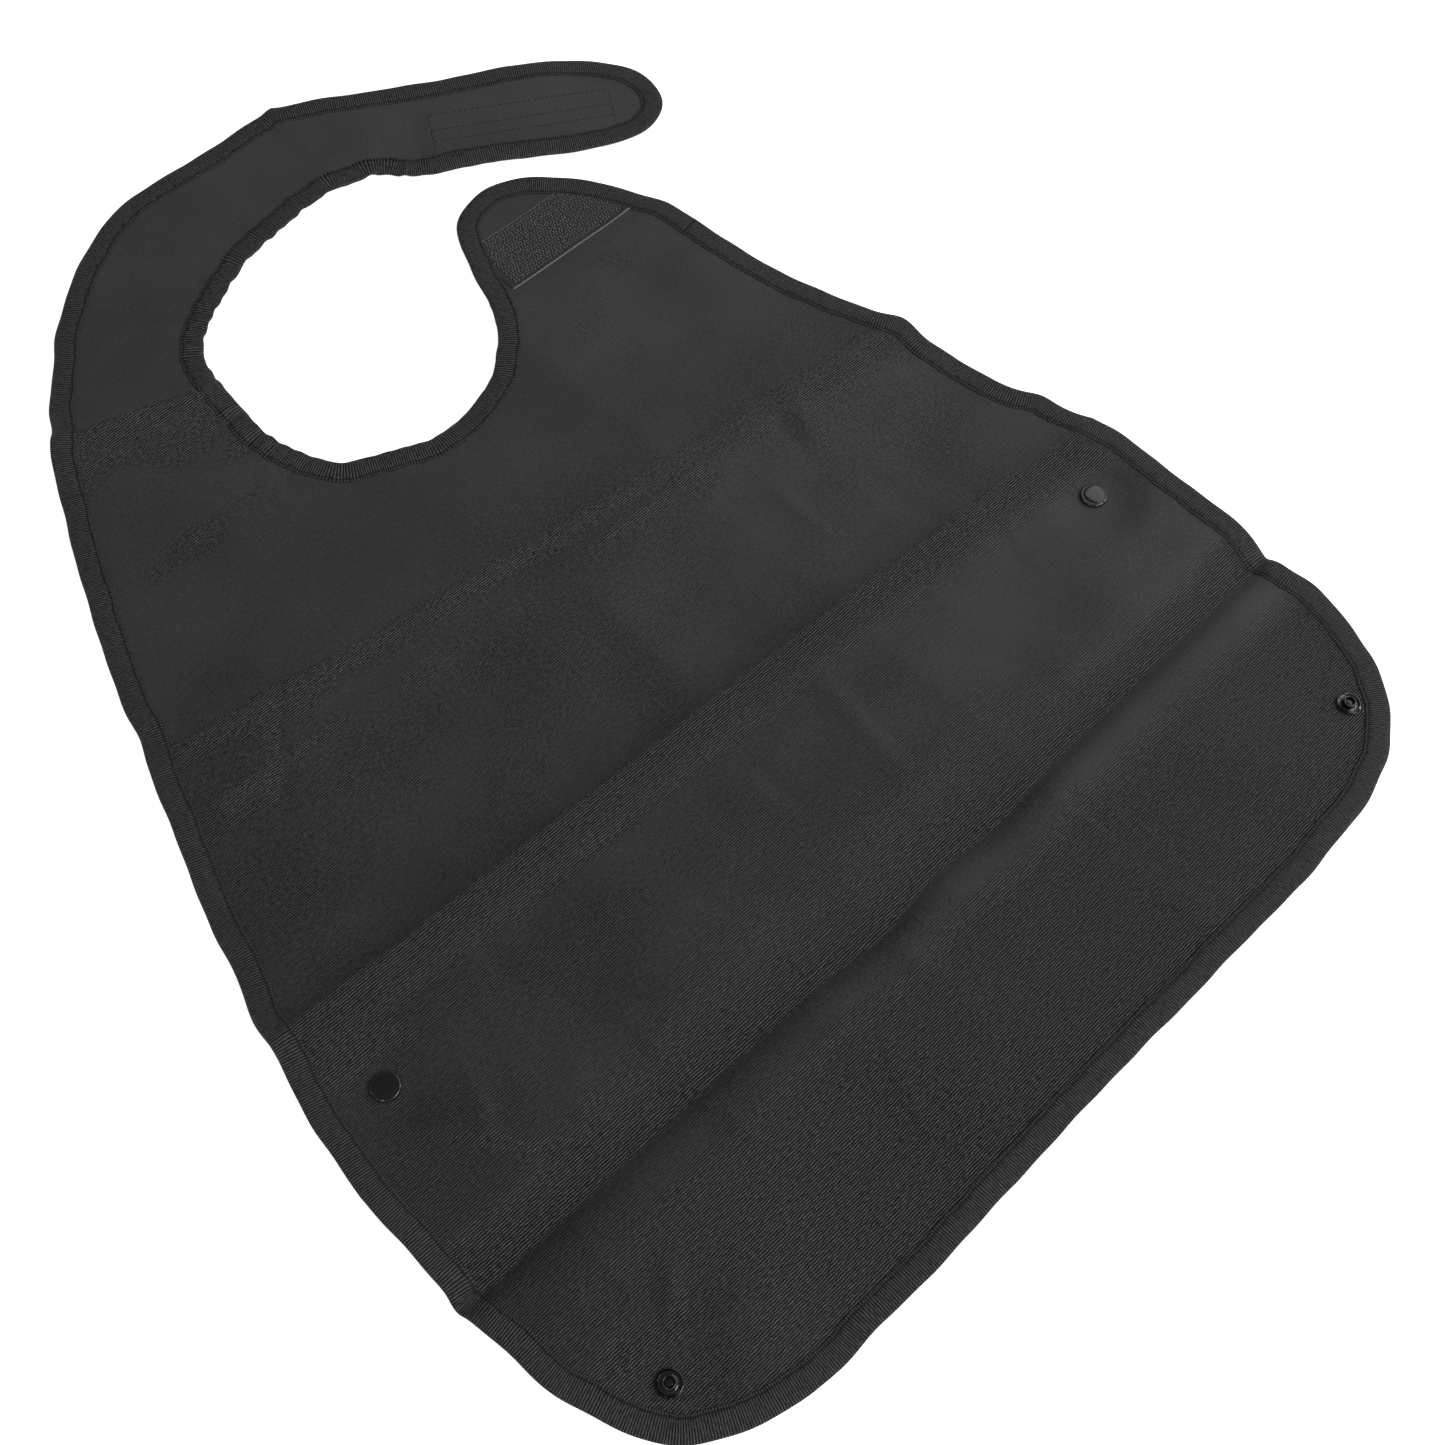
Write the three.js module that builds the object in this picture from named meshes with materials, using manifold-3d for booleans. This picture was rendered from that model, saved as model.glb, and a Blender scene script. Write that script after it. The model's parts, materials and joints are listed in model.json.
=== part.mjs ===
// A barber's bib cape: one coated-oxford cloth with a wrap-round neck strap, a ribbed binding
// tape sewn over the whole edge, a hook patch and a loop strip that close the strap, and four
// press snaps that hold the bottom flap up as a hair catcher.
// Millimetres. +Z is the front face (up, when the cape lies flat), +Y runs from the hem to the
// strap, and the origin is at the centre of the footprint, on the surface that the cape lies on.
// The cloth is cut into one solid for each body that folds; the four fold lines are the hinges.
import * as THREE from "three";
import { mergeVertices } from "three/addons/utils/BufferGeometryUtils.js";
import Module from "manifold-3d";

const wasm = await Module();
wasm.setup();

// ---- driving dimensions ----
const HALF_WIDTH = 240; // panel, at the snaps
const HEM_Y = -314;
const HEM_CORNER_WIDTH = 74; // the hem's corners are quarter ellipses
const HEM_CORNER_HEIGHT = 94;
const STRAIGHT_SIDE_TOP_Y = -150; // the sides are straight and parallel below this line
const OUTLINE_STEP = 13; // length of a chord on round stretches

const SHEET_GAP = 0.3; // clearance kept between pieces that touch
const CLOTH_T = 0.6;
const TAPE_T = 0.5; // one layer of the folded binding tape
const TAPE_WIDTH = 11; // seen on each face
const THREAD_T = 0.4;
const STITCH_INSET = 9.6; // topstitch line, from the outer edge
const STITCH_WIDTH = 0.6;

const SOCKET_H = 2.7;
const CLOTH_BOTTOM = SOCKET_H + SHEET_GAP; // the cloth rides on the snap sockets
const CLOTH_TOP = CLOTH_BOTTOM + CLOTH_T;
const TAPE_BOTTOM = CLOTH_BOTTOM - SHEET_GAP - TAPE_T;
const TAPE_TOP = CLOTH_TOP + SHEET_GAP + TAPE_T;
const THREAD_BOTTOM = TAPE_TOP + SHEET_GAP;
const THREAD_TOP = THREAD_BOTTOM + THREAD_T;

// Fold lines, each a centre, a direction in degrees from +X, and a length that crosses the cloth.
const FOLD_GAP = 0.8;
const FOLDS = {
  catcher: { x: 0, y: -203, angle: 0, length: 2.2 * HALF_WIDTH },
  strap_root: { x: -81.5, y: 200, angle: -19.2, length: 110 },
  strap_end: { x: 79.5, y: 283, angle: 86, length: 90 },
  tab: { x: 130, y: 132.5, angle: 0, length: 130 },
};

const SNAPS = {
  left: { upper: { x: -205.5, y: -122 }, lower: { x: -203, y: -277 } },
  right: { upper: { x: 205.5, y: -128.5 }, lower: { x: 203, y: -275.5 } },
};
const POST_R = 1.1; // rivet post of a snap cap
const CRIMP_R = 1.7; // its end, spread after it has passed through the cloth
const CAP_R = 6.2;
const FLANGE_R = 5.35;
const NUB_R = 2.7; // the stud's hollow nub, which clicks into the socket
const NUB_HOLLOW_R = 2;
const CLOTH_MIDDLE = CLOTH_BOTTOM + CLOTH_T / 2;

const HOOK_PATCH = { x: 131.5, y: 158.5, angle: 0, length: 71, width: 34 };
const HOOK_BASE_T = 0.6;
const HOOK_FIELD_T = 1.1; // height of the hooks over the woven base
const HOOK_SELVAGE = 2.2; // bare woven edge along both long sides
const LOOP_STRIP = { x: 169.5, y: 221, angle: -30.8, length: 96, width: 32 };
const LOOP_T = 1.2;

// ---- outline of the finished cape ----
// Hand-set points of the free-form stretches, anticlockwise from the top of the right side.
const RIGHT_SIDE = [[239, -108], [223, -58], [216, -20], [207, 20], [197, 58], [189.5, 95]];
const TAB_END = [[185, 130], [172, 161], [157, 182.5], [139, 196.5], [119, 200.5], [99, 191], [86.5, 166]];
const NECK_LOWER = [[79, 144], [68, 125], [48, 108.5], [18, 100.5], [-11, 106.5], [-33, 120]];
const NECK_LEFT = [[-46, 145], [-46.5, 170], [-42, 202]];
const STRAP_INNER = [[-32, 219], [-10, 233], [20, 245], [62, 251], [86, 245], [112, 226.5], [146, 209.5]];
const STRAP_TIP = [[182, 186], [208, 175.5], [228, 183], [237.5, 203], [227, 227]];
const STRAP_OUTER = [[200, 249.5], [156, 274], [114, 296], [80, 312.5], [48, 313.5], [4, 312], [-30, 305]];
const LEFT_SHOULDER = [[-62, 285], [-97, 248], [-123, 212], [-148, 160], [-170.5, 105]];
const LEFT_SIDE = [[-191, 44], [-210.5, -18], [-224.5, -72], [-235, -112]];

function outlinePath() {
  const cornerX = HALF_WIDTH - HEM_CORNER_WIDTH;
  const cornerY = HEM_Y + HEM_CORNER_HEIGHT;
  const freeForm = [
    ...RIGHT_SIDE, ...TAB_END, ...NECK_LOWER, ...NECK_LEFT, ...STRAP_INNER, ...STRAP_TIP,
    ...STRAP_OUTER, ...LEFT_SHOULDER, ...LEFT_SIDE, [-HALF_WIDTH, STRAIGHT_SIDE_TOP_Y],
  ];
  const path = new THREE.Path();
  path.moveTo(-cornerX, HEM_Y);
  path.lineTo(cornerX, HEM_Y);
  path.absellipse(cornerX, cornerY, HEM_CORNER_WIDTH, HEM_CORNER_HEIGHT, -Math.PI / 2, 0);
  path.lineTo(HALF_WIDTH, STRAIGHT_SIDE_TOP_Y);
  path.splineThru(freeForm.map(([x, y]) => new THREE.Vector2(x, y)));
  path.lineTo(-HALF_WIDTH, cornerY);
  path.absellipse(-cornerX, cornerY, HEM_CORNER_WIDTH, HEM_CORNER_HEIGHT, Math.PI, 1.5 * Math.PI);
  return path;
}

function sampleOutline(path) {
  const points = [];
  for (const curve of path.curves) {
    const chords = curve.isLineCurve ? 1 : Math.ceil(curve.getLength() / OUTLINE_STEP);
    points.push(...curve.getSpacedPoints(chords).slice(0, -1));
  }
  return points;
}

const OUTLINE = sampleOutline(outlinePath());

// The outline moved inwards by a distance, point by point along its mitred normals.
function inset(distance) {
  return OUTLINE.map((point, i) => {
    const before = OUTLINE.at(i - 1);
    const after = OUTLINE[(i + 1) % OUTLINE.length];
    const inwards = (a, b) => new THREE.Vector2(a.y - b.y, b.x - a.x).normalize();
    const n1 = inwards(before, point);
    const n2 = inwards(point, after);
    const mitre = n1.clone().add(n2).normalize();
    return point.clone().addScaledVector(mitre, distance / mitre.dot(n1));
  });
}

// ---- solids ----
function toSolid(geometry) {
  const plain = geometry.index ? geometry.toNonIndexed() : geometry.clone();
  plain.deleteAttribute("normal");
  plain.deleteAttribute("uv");
  const merged = mergeVertices(plain, 1e-4);
  const vertProperties = merged.attributes.position.array;
  const triVerts = new Uint32Array(merged.index.array);
  return new wasm.Manifold(new wasm.Mesh({ numProp: 3, vertProperties, triVerts }));
}

function toGeometry(solid) {
  const mesh = solid.getMesh();
  const geometry = new THREE.BufferGeometry();
  geometry.setAttribute("position", new THREE.BufferAttribute(mesh.vertProperties, 3));
  geometry.setIndex(new THREE.BufferAttribute(mesh.triVerts, 1));
  geometry.computeVertexNormals();
  return geometry;
}

function plate(points, low, high) {
  const options = { depth: high - low, bevelEnabled: false };
  return toSolid(new THREE.ExtrudeGeometry(new THREE.Shape(points), options).translate(0, 0, low));
}

// A box with its long side along a place's direction, shrunk on all four sides by a margin.
function placedBox(place, margin, low, high) {
  const box = new THREE.BoxGeometry(place.length - 2 * margin, place.width - 2 * margin, high - low);
  box.rotateZ(THREE.MathUtils.degToRad(place.angle));
  box.translate(place.x, place.y, (low + high) / 2);
  return toSolid(box);
}

// A flat ring between two insets of the outline.
function band(outerInset, innerInset, low, high) {
  return plate(inset(outerInset), low, high).subtract(plate(inset(innerInset), low - 1, high + 1));
}

function lathed(profile, place) {
  const points = profile.map(([r, z]) => new THREE.Vector2(r, z));
  const geometry = new THREE.LatheGeometry(points, 20).rotateX(Math.PI / 2);
  return toSolid(geometry.translate(place.x, place.y, 0));
}

function cutAtFolds(solid) {
  const cut = Object.values(FOLDS).reduce((rest, fold) => {
    return rest.subtract(placedBox({ ...fold, width: FOLD_GAP }, 0, -5, 20));
  }, solid);
  return cut.decompose();
}

// ---- group and materials ----
const cape = new THREE.Group();

function surface(color, roughness, metalness = 0) {
  return new THREE.MeshStandardMaterial({ color, roughness, metalness });
}

const MATERIALS = {
  cloth: surface(0x343434, 0.85),
  tape: surface(0x2b3030, 0.8),
  thread: surface(0x1c1e1e, 0.7),
  hook: surface(0x2a2a2a, 0.9),
  loop: surface(0x303030, 0.95),
  snap: surface(0x0c0c0c, 0.15),
};

function add(name, solid, material) {
  const mesh = new THREE.Mesh(toGeometry(solid), material);
  mesh.name = name;
  cape.add(mesh);
}

// Names the pieces of a cut solid: each goes to the name whose point is nearest its box's centre.
function addPieces(pieces, names, material) {
  for (const [name, [x, y]] of Object.entries(names)) {
    const distance = (piece) => {
      const { min, max } = piece.boundingBox();
      return Math.hypot((min[0] + max[0]) / 2 - x, (min[1] + max[1]) / 2 - y);
    };
    const nearest = pieces.reduce((a, b) => (distance(b) < distance(a) ? b : a));
    add(name, nearest, material);
  }
}

// ---- cloth, binding tape and topstitching ----
const PANELS = {
  flap_panel: [0, -258],
  chest_panel: [0, -20],
  tab_panel: [133, 160],
  strap_panel: [-10, 250],
  strap_end_panel: [155, 245],
};

const EDGES = {
  flap: [0, -258],
  body_left: [-180, 5],
  body_neck: [15, 150],
  body_right: [212, -35],
  tab: [133, 160],
  strap_outer: [-20, 265],
  strap_inner: [15, 222],
  strap_end: [155, 245],
};

function edgeNames(suffix) {
  return Object.fromEntries(Object.entries(EDGES).map(([edge, at]) => [edge + suffix, at]));
}

function addCloth() {
  const bore = [[0, 0], [POST_R + SHEET_GAP, 0], [POST_R + SHEET_GAP, 10], [0, 10]];
  const places = Object.values(SNAPS).flatMap(({ upper, lower }) => [upper, lower]);
  const cloth = plate(inset(TAPE_T + SHEET_GAP), CLOTH_BOTTOM, CLOTH_TOP);
  const pierced = places.reduce((rest, place) => rest.subtract(lathed(bore, place)), cloth);
  addPieces(cutAtFolds(pierced), PANELS, MATERIALS.cloth);
}

// The tape is folded over the edge, so its section is a C that the cloth's edge sits in.
function addBinding() {
  const room = plate(inset(TAPE_T), CLOTH_BOTTOM - SHEET_GAP, CLOTH_TOP + SHEET_GAP);
  const tape = band(0, TAPE_WIDTH, TAPE_BOTTOM, TAPE_TOP).subtract(room);
  addPieces(cutAtFolds(tape), edgeNames("_binding"), MATERIALS.tape);
  const outer = STITCH_INSET - STITCH_WIDTH / 2;
  const seam = band(outer, outer + STITCH_WIDTH, THREAD_BOTTOM, THREAD_TOP);
  addPieces(cutAtFolds(seam), edgeNames("_stitching"), MATERIALS.thread);
}

// ---- hook patch on the tab, loop strip under the strap end ----
function stitchRing(place, margin, low) {
  const outer = placedBox(place, margin, low, low + THREAD_T);
  return outer.subtract(placedBox(place, margin + STITCH_WIDTH, low - 1, low + THREAD_T + 1));
}

function addHookPatch() {
  const low = CLOTH_TOP + SHEET_GAP;
  const clear = plate(inset(TAPE_WIDTH + SHEET_GAP), low - 1, low + 5);
  const base = placedBox(HOOK_PATCH, 0, low, low + HOOK_BASE_T);
  const field = placedBox(HOOK_PATCH, HOOK_SELVAGE, low, low + HOOK_BASE_T + HOOK_FIELD_T);
  add("hook_patch", base.add(field).intersect(clear), MATERIALS.hook);
  const seam = stitchRing(HOOK_PATCH, 0.8, low + HOOK_BASE_T + SHEET_GAP);
  add("hook_patch_stitching", seam.subtract(field).intersect(clear).decompose()[0], MATERIALS.thread);
}

function addLoopStrip() {
  const high = CLOTH_BOTTOM - SHEET_GAP;
  const backed = plate(inset(TAPE_WIDTH + SHEET_GAP), high - 5, high + 5);
  add("loop_strip", placedBox(LOOP_STRIP, 0, high - LOOP_T, high).intersect(backed), MATERIALS.loop);
  const low = CLOTH_TOP + SHEET_GAP;
  const line = { ...LOOP_STRIP, width: LOOP_STRIP.width / 3 };
  const inner = stitchRing(line, 1.5, low);
  const seam = stitchRing(LOOP_STRIP, 1.5, low).add(inner).intersect(backed.translate([0, 0, 3]));
  add("loop_strip_stitching", seam, MATERIALS.thread);
}

// ---- press snaps ----
// Profiles run from the axis or the bore, as [radius, height], with the cap on the front face.
const CAP_PROFILE = [
  [0, 0.9], [CRIMP_R - 0.4, 0.9], [CRIMP_R, 1.2], [CRIMP_R, 1.4], [POST_R, 1.6],
  [POST_R, CLOTH_TOP + SHEET_GAP], [CAP_R - 0.4, CLOTH_TOP + SHEET_GAP], [CAP_R, 4.2], [CAP_R, 4.5],
  [5.6, 5.15], [4.4, 5.6], [2.6, 5.85], [0, 5.95],
];
const SOCKET_PROFILE = [
  [POST_R + SHEET_GAP, 1.9], [NUB_R + 0.45, 1.9], [NUB_R + 0.45, 1.3], [NUB_R + 0.15, 1],
  [NUB_R + 0.15, 0.4], [3.2, 0], [4.1, 0], [4.4, 0.4], [4.5, 1.9], [FLANGE_R, 2.2],
  [FLANGE_R, SOCKET_H], [POST_R + SHEET_GAP, SOCKET_H],
];
const STUD_PROFILE = [
  [POST_R + SHEET_GAP, CLOTH_TOP + SHEET_GAP], [FLANGE_R, CLOTH_TOP + SHEET_GAP], [FLANGE_R, 4.5],
  [FLANGE_R - 0.4, 4.8], [NUB_R + 0.3, 4.9], [NUB_R - 0.1, 5.2], [NUB_R - 0.1, 5.9],
  [NUB_R, 6.3], [NUB_R - 0.15, 6.7], [NUB_R - 0.4, 6.8], [NUB_HOLLOW_R, 6.6],
  [NUB_HOLLOW_R, 4.7], [POST_R + SHEET_GAP, 4.7],
];

// The same profile for a piece on the other face of the cloth.
function turnedOver(profile) {
  return profile.map(([r, z]) => [r, 2 * CLOTH_MIDDLE - z]).reverse();
}

function ring(profile) {
  return [...profile, profile[0]];
}

function addSnaps(sideName, { upper, lower }) {
  add("snap_cap_" + sideName, lathed(CAP_PROFILE, upper), MATERIALS.snap);
  add("snap_socket_" + sideName, lathed(ring(SOCKET_PROFILE), upper), MATERIALS.snap);
  add("flap_snap_cap_" + sideName, lathed(turnedOver(CAP_PROFILE), lower), MATERIALS.snap);
  add("flap_snap_stud_" + sideName, lathed(ring(STUD_PROFILE), lower), MATERIALS.snap);
}

addCloth();
addBinding();
addHookPatch();
addLoopStrip();
Object.entries(SNAPS).forEach(([sideName, places]) => addSnaps(sideName, places));

export default cape;
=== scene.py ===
"""The looks of a barber's bib cape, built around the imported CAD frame.

Lengths here are millimetres until make_piece() turns them into metres. X and Y are the plan of the
cape laid flat, and arc is a place along its edge, measured anticlockwise from the hem's left end.
"""
import json
import math

import bpy
import numpy as np
from mathutils import Matrix, Vector
from mathutils.geometry import delaunay_2d_cdt
from mathutils.kdtree import KDTree
from numpy.linalg import norm


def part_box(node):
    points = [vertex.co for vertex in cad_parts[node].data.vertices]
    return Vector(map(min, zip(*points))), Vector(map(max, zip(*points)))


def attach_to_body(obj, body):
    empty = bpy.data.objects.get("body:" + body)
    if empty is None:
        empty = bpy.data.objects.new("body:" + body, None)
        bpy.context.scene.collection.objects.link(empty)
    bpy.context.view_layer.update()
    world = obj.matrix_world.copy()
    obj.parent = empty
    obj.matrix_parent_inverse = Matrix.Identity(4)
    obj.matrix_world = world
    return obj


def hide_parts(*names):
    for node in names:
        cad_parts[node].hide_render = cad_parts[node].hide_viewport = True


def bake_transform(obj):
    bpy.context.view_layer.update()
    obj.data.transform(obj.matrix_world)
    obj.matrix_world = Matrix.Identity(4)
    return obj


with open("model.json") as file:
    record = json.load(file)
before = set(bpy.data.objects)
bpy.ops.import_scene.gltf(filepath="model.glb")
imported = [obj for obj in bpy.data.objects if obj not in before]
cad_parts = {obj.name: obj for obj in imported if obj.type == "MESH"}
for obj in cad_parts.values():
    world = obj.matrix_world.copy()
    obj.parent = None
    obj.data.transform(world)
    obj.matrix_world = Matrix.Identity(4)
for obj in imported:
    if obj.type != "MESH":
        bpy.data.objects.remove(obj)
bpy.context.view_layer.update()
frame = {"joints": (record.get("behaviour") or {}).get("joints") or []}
MM = 0.001
RANDOM = np.random.default_rng(11)

# ---- camera: the photograph's point of view ----
CAMERA_TARGET = (0.17, -96.61, 3.6)
CAMERA_DISTANCE = 848.61
CAMERA_TILT = 0.5036  # from straight down, radians
CAMERA_AZIMUTH = -2.4057
CAMERA_ROLL = 0.0694
CAMERA_LENS = 49.83
SENSOR_WIDTH = 36.0

# ---- outline of the finished cape ----
HALF_WIDTH = 240.0
HEM_Y = -314.0
HEM_CORNER_WIDTH = 74.0
HEM_CORNER_HEIGHT = 94.0
STRAIGHT_SIDE_TOP_Y = -150.0
EDGE_STEP = 1.5

RIGHT_SIDE = [[239, -108], [223, -58], [216, -20], [207, 20], [197, 58], [189.5, 95]]
TAB_END = [[185, 130], [172, 161], [157, 182.5], [139, 196.5], [119, 200.5], [99, 191], [86.5, 166]]
NECK_LOWER = [[79, 144], [68, 125], [48, 108.5], [18, 100.5], [-11, 106.5], [-33, 120]]
NECK_LEFT = [[-46, 145], [-46.5, 170], [-42, 202]]
STRAP_INNER = [[-32, 219], [-10, 233], [20, 245], [62, 251], [86, 245], [112, 226.5], [146, 209.5]]
STRAP_TIP = [[182, 186], [208, 175.5], [228, 183], [237.5, 203], [227, 227]]
STRAP_OUTER = [[200, 249.5], [156, 274], [114, 296], [80, 312.5], [48, 313.5], [4, 312], [-30, 305]]
LEFT_SHOULDER = [[-62, 285], [-97, 248], [-123, 212], [-148, 160], [-170.5, 105]]
LEFT_SIDE = [[-191, 44], [-210.5, -18], [-224.5, -72], [-235, -112]]

# Places where a crease meets the edge and pushes it out: x, y, distance outwards, reach along it.
EDGE_KINKS = [
    (-222, -66, 2.8, 14), (-184, 64, -1.2, 9), (-240, -204, 1.2, 5), (-240, -231, -2.4, 12),
    (-214, -291, 3.2, 20), (-160, -313, 2.4, 26), (-105, -314, 2.4, 30), (150, -314, -1.4, 18),
    (182, -311, -4.2, 22), (236, -204, -2.4, 9), (241, -104, -1.2, 10), (228, -76, 2.3, 8),
    (215, -2, 4.0, 11), (229, 185, 2.0, 12), (92, 241, -2.3, 9), (81, 314, 1.6, 4),
    (-5, 311, 2.2, 16), (-118, 219, -1.6, 10), (-45, 142, 2.0, 22), (-16, 109, 2.0, 16),
    (139, 196, 1.3, 38), (118, 226, -1.3, 45), (203, 249, 1.3, 40), (105, 300, 1.1, 40),
    (-208, -18, 1.3, 24), (207, -298, -1.5, 13), (240, -217, -1.2, 8), (235, -92, -0.9, 8),
    (-54, -314, 1.1, 18), (-171, -314, -1.1, 12), (-81, 266, 1.1, 12),
]
RUFFLED_EDGE = ((-42, 136), (108, 228))  # the gathered inner edge of the strap
NECK_EDGE = ((82, 150), (150, 208))
RUFFLE_WIDTH = 0.35
RUFFLE_HEIGHT = 0.8
RUFFLE_REACH = 13.0
EDGE_WANDER = 0.22  # the slight waviness of the whole edge

# ---- layers, measured up from the middle of the cloth ----
CLOTH_HALF = 0.2
BASE_HEIGHT = 1.25  # of the middle of the cloth over the floor
LEAST_HEIGHT = 1.05
SNAP_HEIGHT = 3.3  # where the cloth is gripped by a snap
SNAP_GRIP = 1.32  # over 1, so that the cloth is level right under the snap
SNAP_GRIP_REACH = 22.0
STRIP_HEIGHT = 2.3  # where it lies on the loop strip
CLOTH_INSET = 1.0
TAPE_WIDTH = 11.0
STITCH_INSET = 9.6
STITCH_PITCH = 3.0
STITCH_LENGTH = 2.4
THREAD_R = 0.2

# ---- folds ----
# The lines that split the cloth's pieces, each between the points of its edge nearest to these.
SPLITS = {
    "left": ((-137, 187.6), (-46, 156)),
    "strap": ((12, 242.5), (14, 312)),
    "tab": ((57, 114), (187, 113)),
}

# ---- the loop strip's place under the strap's end ----
STRIP_X = 169.5
STRIP_Y = 221.0
STRIP_LENGTH = 96.0
STRIP_WIDTH = 32.0
STRIP_ANGLE = math.radians(-30.8)
STRIP_COS, STRIP_SIN = math.cos(STRIP_ANGLE), math.sin(STRIP_ANGLE)
STRIP_MARGIN = 8.0  # around it, where the cloth is still lifted
STRIP_FADE = 10.0


# ---- small helpers ----
def smooth(t):
    t = np.clip(t, 0, 1)
    return t * t * (3 - 2 * t)


def smooth_max(a, b, softness):
    return 0.5 * (a + b + np.sqrt((a - b) ** 2 + softness**2))


def spline(points, steps=30):
    """Uniform Catmull-Rom curve through the points, without its last one."""
    p = np.array([points[0], *points, points[-1]], float)
    t = np.linspace(0, 1, steps, endpoint=False)[:, None]
    spans = []
    for a, b, c, d in zip(p, p[1:], p[2:], p[3:]):
        square = (2 * a - 5 * b + 4 * c - d) * t**2
        cube = (3 * b - a - 3 * c + d) * t**3
        spans.append(0.5 * (2 * b + (c - a) * t + square + cube))
    return np.vstack(spans)


# ---- the edge: evenly spaced points, anticlockwise, each with its inward direction ----
def drafted_outline():
    corner_x = HALF_WIDTH - HEM_CORNER_WIDTH
    corner_y = HEM_Y + HEM_CORNER_HEIGHT
    turn = np.linspace(0, math.pi / 2, 60)
    right = [corner_x + HEM_CORNER_WIDTH * np.sin(turn), corner_y - HEM_CORNER_HEIGHT * np.cos(turn)]
    left = [-corner_x - HEM_CORNER_WIDTH * np.cos(turn), corner_y - HEM_CORNER_HEIGHT * np.sin(turn)]
    top = spline([
        [HALF_WIDTH, STRAIGHT_SIDE_TOP_Y], *RIGHT_SIDE, *TAB_END, *NECK_LOWER, *NECK_LEFT,
        *STRAP_INNER, *STRAP_TIP, *STRAP_OUTER, *LEFT_SHOULDER, *LEFT_SIDE,
        [-HALF_WIDTH, STRAIGHT_SIDE_TOP_Y],
    ])
    return np.vstack([np.transpose(right), top, np.transpose(left)])


def resample(points, step):
    closed = np.vstack([points, points[:1]])
    arcs = np.concatenate([[0], np.cumsum(norm(np.diff(closed, axis=0), axis=1))])
    count = int(round(arcs[-1] / step))
    wanted = np.arange(count) * arcs[-1] / count
    return np.column_stack([np.interp(wanted, arcs, closed[:, k]) for k in (0, 1)])


def inward_directions(points):
    along = np.roll(points, -2, axis=0) - np.roll(points, 2, axis=0)
    inwards = np.column_stack([-along[:, 1], along[:, 0]])
    return inwards / norm(inwards, axis=1)[:, None]


def nearest(points, place):
    """The number of the point that is nearest to a place."""
    return int(np.argmin(norm(points - np.array(place, float), axis=1)))


def nearest_arc(points, place):
    return nearest(points, place) * EDGE_STEP


def window(arc, start, end, fade):
    """1 between two places along the edge, falling to 0 outside them."""
    return smooth((arc - start) / fade + 0.5) * smooth((end - arc) / fade + 0.5)


def wander(arc, lengths, phase):
    """An uneven wave along the edge, between about -1 and 1."""
    waves = [np.sin(2 * np.pi * arc / length + phase * (k + 1)) for k, length in enumerate(lengths)]
    return sum(waves) / len(lengths) ** 0.5


DRAFT = resample(drafted_outline(), EDGE_STEP)
RUFFLE_FROM, RUFFLE_TO = (nearest_arc(DRAFT, place) for place in RUFFLED_EDGE)
NECK_FROM, NECK_TO = (nearest_arc(DRAFT, place) for place in NECK_EDGE)


def ruffle_strength(arc):
    return 0.3 * window(arc, NECK_FROM, NECK_TO, 20) + 0.7 * window(arc, RUFFLE_FROM, RUFFLE_TO, 25)


def shaped_edge():
    """The drafted outline with its kinks, its slight waviness and the neck's ruffles."""
    arc = np.arange(len(DRAFT)) * EDGE_STEP
    out = EDGE_WANDER * wander(arc, (41, 67, 23), 1.7)
    out += RUFFLE_WIDTH * ruffle_strength(arc) * wander(arc, (15.5, 9.3, 22), 0.9)
    for x, y, distance, reach in EDGE_KINKS:
        away = np.hypot(DRAFT[:, 0] - x, DRAFT[:, 1] - y)
        out += distance * np.exp(-((away / reach) ** 2))
    return DRAFT - inward_directions(DRAFT) * out[:, None]


EDGE = shaped_edge()
INWARD = inward_directions(EDGE)
EDGE_LENGTH = len(EDGE) * EDGE_STEP
EDGE_TREE = KDTree(len(EDGE))
for index, (edge_x, edge_y) in enumerate(EDGE):
    EDGE_TREE.insert((edge_x, edge_y, 0), index)
EDGE_TREE.balance()


def arc_and_inset(points):
    """For each plan point, its place along the edge and how far inside the edge it is."""
    found = np.array([EDGE_TREE.find((x, y, 0))[1] for x, y in points])
    inset = ((points - EDGE[found]) * INWARD[found]).sum(1)
    return found * EDGE_STEP, inset


def edge_point(arc, inset):
    """Plan points at places along the edge, at an inset from it."""
    place = (np.asarray(arc) / EDGE_STEP) % len(EDGE)
    low = place.astype(int)
    high = (low + 1) % len(EDGE)
    share = (place - low)[..., None]
    on_edge = EDGE[low] * (1 - share) + EDGE[high] * share
    inwards = INWARD[low] * (1 - share) + INWARD[high] * share
    return on_edge + inwards * np.asarray(inset)[..., None]


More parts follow.
